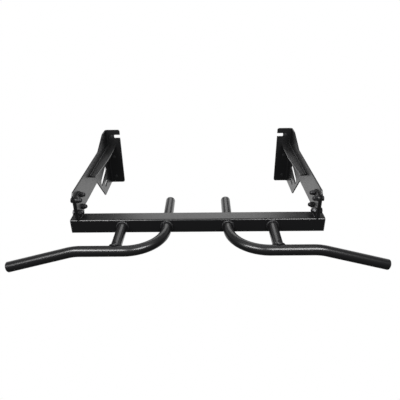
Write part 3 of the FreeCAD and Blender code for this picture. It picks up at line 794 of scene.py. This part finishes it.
for word, side in SIDES:
    for seam in ("hanger", "gusset"):
        low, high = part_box(word + "_" + seam + "_weld")
        wall_x = side * max(abs(low.x), abs(high.x))
        bead = straight_bead((wall_x, low.y, low.z), (wall_x, high.y, low.z), (-side, 0.0, 1.0))
        finish_piece(bead, word + "_" + seam + "_bead", "weld_coat",
                     [word + "_" + seam + "_weld"], smooth=60.0)

# %% [markdown]
# ## Fasteners
#
# Four bolts on each side pass from a hexagon head outside the arm, through both plates, to
# a dome nut on the inside, with a washer under each. A real hexagon is turned on a lathe
# after it is forged, so its corners are cut by a cone and each flat ends in a curve. Cutting
# every side into short pieces and lowering each point by its distance from the axis gives
# exactly that curve.

# %% A chamfered hexagon
CUTS = 7
CHAMFER = math.tan(math.radians(30))
CHAMFER_START = 0.96
SEAT_SHARE = 0.94


def hexagon_ring(bm):
    ring = new_ring(bm, HEAD_ACROSS / 2 / math.cos(math.pi / 6), 6)
    bmesh.ops.subdivide_edges(bm, edges=ring, cuts=CUTS)
    return bm.edges[:]


def cone_cut(ring, sign):
    """Lower (or raise) each point beyond the flats, as a turned chamfer does."""
    for vert in verts_of(ring):
        beyond = math.hypot(vert.co.x, vert.co.y) - HEAD_ACROSS / 2 * CHAMFER_START
        vert.co.z -= sign * max(0.0, beyond) * CHAMFER


def hexagon_block(bm, height, lower_cut):
    """A hexagon from z = 0 up; returns its top and bottom rings, brought to a circle."""
    bottom = hexagon_ring(bm)
    top = draw_on(bm, bottom, (0.0, 0.0, height))
    cone_cut(top, 1.0)
    if lower_cut:
        cone_cut(bottom, -1.0)
    crown = draw_on(bm, top)
    to_radius(crown, HEAD_ACROSS / 2 * SEAT_SHARE)
    for vert in verts_of(crown):
        vert.co.z = height
    seat = draw_on(bm, bottom)
    to_radius(seat, HEAD_ACROSS / 2 * SEAT_SHARE)
    for vert in verts_of(seat):
        vert.co.z = 0.0
    return crown, seat


# %% Bolt, nut and washer, each along +Z from its seat
DOME_STEPS = 9
WASHER_STEPS = 40
WASHER_PLAY = 0.0005
WASHER_ROUND = 0.0005


def one_bolt(shank_length):
    bm = bmesh.new()
    crown, seat = hexagon_block(bm, HEAD_HEIGHT, False)
    close_ring(bm, crown)
    neck = draw_on(bm, seat)
    to_radius(neck, SHANK_RADIUS)
    close_ring(bm, draw_on(bm, neck, (0.0, 0.0, -shank_length)))
    return bm


def one_nut():
    bm = bmesh.new()
    ring, seat = hexagon_block(bm, NUT_HEIGHT, True)
    for step in range(1, DOME_STEPS):
        angle = step / DOME_STEPS * math.pi / 2
        ring = draw_on(bm, ring)
        to_radius(ring, NUT_DOME * math.cos(angle))
        for vert in verts_of(ring):
            vert.co.z = NUT_HEIGHT + NUT_DOME * math.sin(angle)
    close_ring(bm, ring)
    mouth = draw_on(bm, seat)
    to_radius(mouth, SHANK_RADIUS)
    close_ring(bm, draw_on(bm, mouth, (0.0, 0.0, NUT_HEIGHT)))
    return bm


def one_washer():
    bm = bmesh.new()
    hole = SHANK_RADIUS + WASHER_PLAY
    made = bmesh.ops.create_grid(bm, x_segments=1, y_segments=1, size=0.5)["verts"]
    bmesh.ops.scale(bm, verts=made, vec=(WASHER_RADIUS - hole, WASHER_THICK, 1.0))
    bmesh.ops.bevel(bm, geom=made, offset=WASHER_ROUND, offset_type="OFFSET", segments=3,
                    profile=0.5, affect="VERTICES", clamp_overlap=True, material=-1)
    bmesh.ops.delete(bm, geom=bm.faces[:], context="FACES_ONLY")
    bmesh.ops.rotate(bm, verts=bm.verts, cent=(0.0, 0.0, 0.0),
                     matrix=Matrix.Rotation(math.pi / 2, 3, "X"))
    bmesh.ops.translate(bm, verts=bm.verts, vec=((WASHER_RADIUS + hole) / 2, 0.0, WASHER_THICK / 2))
    bmesh.ops.spin(bm, geom=bm.verts[:] + bm.edges[:], cent=(0.0, 0.0, 0.0),
                   axis=(0.0, 0.0, 1.0), angle=2 * math.pi, steps=WASHER_STEPS,
                   use_merge=True, use_duplicate=False)
    return bm


# %% Four of each, at the four bolts
TURNS = (11.0, 38.0, 52.0, 24.0)


def four_of(bm, direction, seat_x, box):
    """Copy one fastener to the corners of the bolt square, each turned a little."""
    low, high = box
    one = bm.verts[:] + bm.edges[:] + bm.faces[:]
    reach_y = (high.y - low.y) / 2 - WASHER_RADIUS
    reach_z = (high.z - low.z) / 2 - WASHER_RADIUS
    middle = (low + high) / 2
    corners = [(y, z) for y in (-reach_y, reach_y) for z in (-reach_z, reach_z)]
    for (y, z), turn in zip(corners, TURNS):
        made = bmesh.ops.duplicate(bm, geom=one)["geom"]
        verts = [item for item in made if isinstance(item, bmesh.types.BMVert)]
        bmesh.ops.rotate(bm, verts=verts, cent=(0.0, 0.0, 0.0),
                         matrix=Matrix.Rotation(math.radians(turn), 3, "Z"))
        turn_to(bm, direction, (seat_x, middle.y + y, middle.z + z), verts)
    bmesh.ops.delete(bm, geom=[item for item in one if isinstance(item, bmesh.types.BMVert)],
                     context="VERTS")
    return bm


for word, side in SIDES:
    out = (side, 0.0, 0.0)
    inward = (-side, 0.0, 0.0)
    low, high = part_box(word + "_head_washers")
    arm_x = side * min(abs(low.x), abs(high.x))
    square = (low, high)
    low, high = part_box(word + "_nut_washers")
    plate_x = side * max(abs(low.x), abs(high.x))
    low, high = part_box(word + "_hanger_bolts")
    head_x = arm_x + side * WASHER_THICK
    shank = abs(head_x - side * min(abs(low.x), abs(high.x)))
    fasteners = (
        ("hanger_bolts", one_bolt(shank), out, head_x),
        ("head_washers", one_washer(), out, arm_x),
        ("nut_washers", one_washer(), inward, plate_x),
        ("dome_nuts", one_nut(), inward, plate_x - side * WASHER_THICK),
    )
    for kind, one, direction, seat_x in fasteners:
        made = four_of(one, direction, seat_x, square)
        finish_piece(made, word + "_" + kind + "_set", "fastener_black", [word + "_" + kind])

# %% [markdown]
# ## Floor, light and camera
#
# The bar hangs well above a plain pale floor that runs out to a white surround, so it reads
# as a clean cut-out. Black satin shows almost nothing but what it reflects. Two soft boxes
# high in front lay a line along each tube, and a smaller one carries the line out to the
# left end. A panel and a pale glow behind light the bar's top and the arms' inner faces.
# Two wide dim panels at the rear and one overhead keep the back and the top from going
# plain black. The faces towards the camera stay dark.

# %% Floor
FLOOR_DROP = 1.2
FLOOR_HALF = 40.0
ground = bmesh.new()
bmesh.ops.create_grid(ground, x_segments=1, y_segments=1, size=FLOOR_HALF)
bmesh.ops.translate(ground, verts=ground.verts, vec=(0.0, 0.0, cad_low.z - FLOOR_DROP))
floor_mesh = bpy.data.meshes.new("floor")
ground.to_mesh(floor_mesh)
ground.free()
floor = bpy.data.objects.new("floor", floor_mesh)
scene.collection.objects.link(floor)
floor.visible_glossy = False
floor.visible_diffuse = False
pale = bpy.data.materials.new("pale_floor")
pale.use_nodes = True
pale_shader = pale.node_tree.nodes["Principled BSDF"]
pale_shader.inputs["Base Color"].default_value = (0.0, 0.0, 0.0, 1.0)
pale_shader.inputs["Specular IOR Level"].default_value = 0.0
pale_shader.inputs["Emission Color"].default_value = (1.0, 1.0, 1.0, 1.0)
pale_shader.inputs["Emission Strength"].default_value = 1.0
floor_mesh.materials.append(pale)

# %% Surround: white to the camera, a pale glow low behind and dim elsewhere to the rest
FRONT_GLOW = 0.05
BACK_GLOW = 0.12
LOW_GLOW = 1.15


def ramp(tree, source, start, end, low=0.0, high=1.0):
    node = new_node(tree, "ShaderNodeMapRange", clamp=True, interpolation_type="SMOOTHSTEP")
    set_inputs(node, From_Min=start, From_Max=end, To_Min=low, To_Max=high)
    tree.links.new(source, node.inputs["Value"])
    return node.outputs["Result"]


def maths(tree, operation, first, second):
    node = new_node(tree, "ShaderNodeMath", operation=operation)
    tree.links.new(first, node.inputs[0])
    tree.links.new(second, node.inputs[1])
    return node.outputs[0]


world = bpy.data.worlds.new("surround")
world.use_nodes = True
scene.world = world
sky = world.node_tree
background = sky.nodes["Background"]
background.inputs["Color"].default_value = (1.0, 1.0, 1.0, 1.0)
heading = new_node(sky, "ShaderNodeTexCoord")
parts = new_node(sky, "ShaderNodeSeparateXYZ")
sky.links.new(heading.outputs["Generated"], parts.inputs["Vector"])
upper = ramp(sky, parts.outputs["Y"], -0.2, 0.5, FRONT_GLOW, BACK_GLOW)
behind = ramp(sky, parts.outputs["Y"], 0.3, 0.8, 0.0, LOW_GLOW)
below = ramp(sky, parts.outputs["Z"], 0.30, -0.05)
glow = maths(sky, "ADD", upper, maths(sky, "MULTIPLY", behind, below))
seen = new_node(sky, "ShaderNodeLightPath")
choose = new_node(sky, "ShaderNodeMix", data_type="FLOAT")
choose.inputs["B"].default_value = 1.0
sky.links.new(seen.outputs["Is Camera Ray"], choose.inputs["Factor"])
sky.links.new(glow, choose.inputs["A"])
sky.links.new(choose.outputs["Result"], background.inputs["Strength"])

# %% Soft boxes: place, what it points at, size in metres and power in watts
def soft_box(name, place, aim, size, watts):
    data = bpy.data.lights.new(name, "AREA")
    data.shape = "RECTANGLE"
    data.size, data.size_y = size
    data.energy = watts
    lamp = bpy.data.objects.new(name, data)
    lamp.location = place
    lamp.rotation_euler = (Vector(aim) - Vector(place)).to_track_quat("-Z", "Y").to_euler()
    scene.collection.objects.link(lamp)


soft_box("left_box", (-1.13, -1.98, 1.93), (-0.3, -0.6, 0.0), (1.45, 0.7), 74.0)
soft_box("right_box", (1.05, -1.98, 1.93), (0.3, -0.6, 0.0), (1.3, 0.7), 70.0)
soft_box("left_wing_box", (-1.90, -1.80, 1.15), (-0.5, -0.65, -0.1), (0.6, 0.6), 9.0)
soft_box("back_panel", (0.0, 3.0, 2.0), (0.0, -0.5, 0.0), (2.0, 1.6), 22.0)
soft_box("left_rear_box", (-2.6, 1.9, 1.3), (-0.35, 0.1, 0.0), (2.6, 2.0), 5.0)
soft_box("right_rear_box", (2.6, 1.9, 1.3), (0.35, 0.1, 0.0), (2.6, 2.0), 5.0)
soft_box("overhead_box", (0.0, 0.0, 2.6), (0.0, -0.1, 0.0), (2.4, 1.4), 10.0)

# %% Camera
camera_data = bpy.data.cameras.new("camera")
camera_data.sensor_width = 36.0
camera_data.lens = 36.659
camera = bpy.data.objects.new("camera", camera_data)
scene.collection.objects.link(camera)
camera.location = (0.02602, -1.65167, 0.65585)
PITCH_DOWN = math.radians(27.886)
YAW = math.radians(-0.807)
ROLL = math.radians(-0.870)
level = Matrix.Rotation(-YAW, 3, "Z") @ Matrix.Rotation(math.pi / 2 - PITCH_DOWN, 3, "X")
camera.rotation_euler = (level @ Matrix.Rotation(ROLL, 3, "Z")).to_euler()
scene.camera = camera
scene.view_settings.view_transform = "Standard"
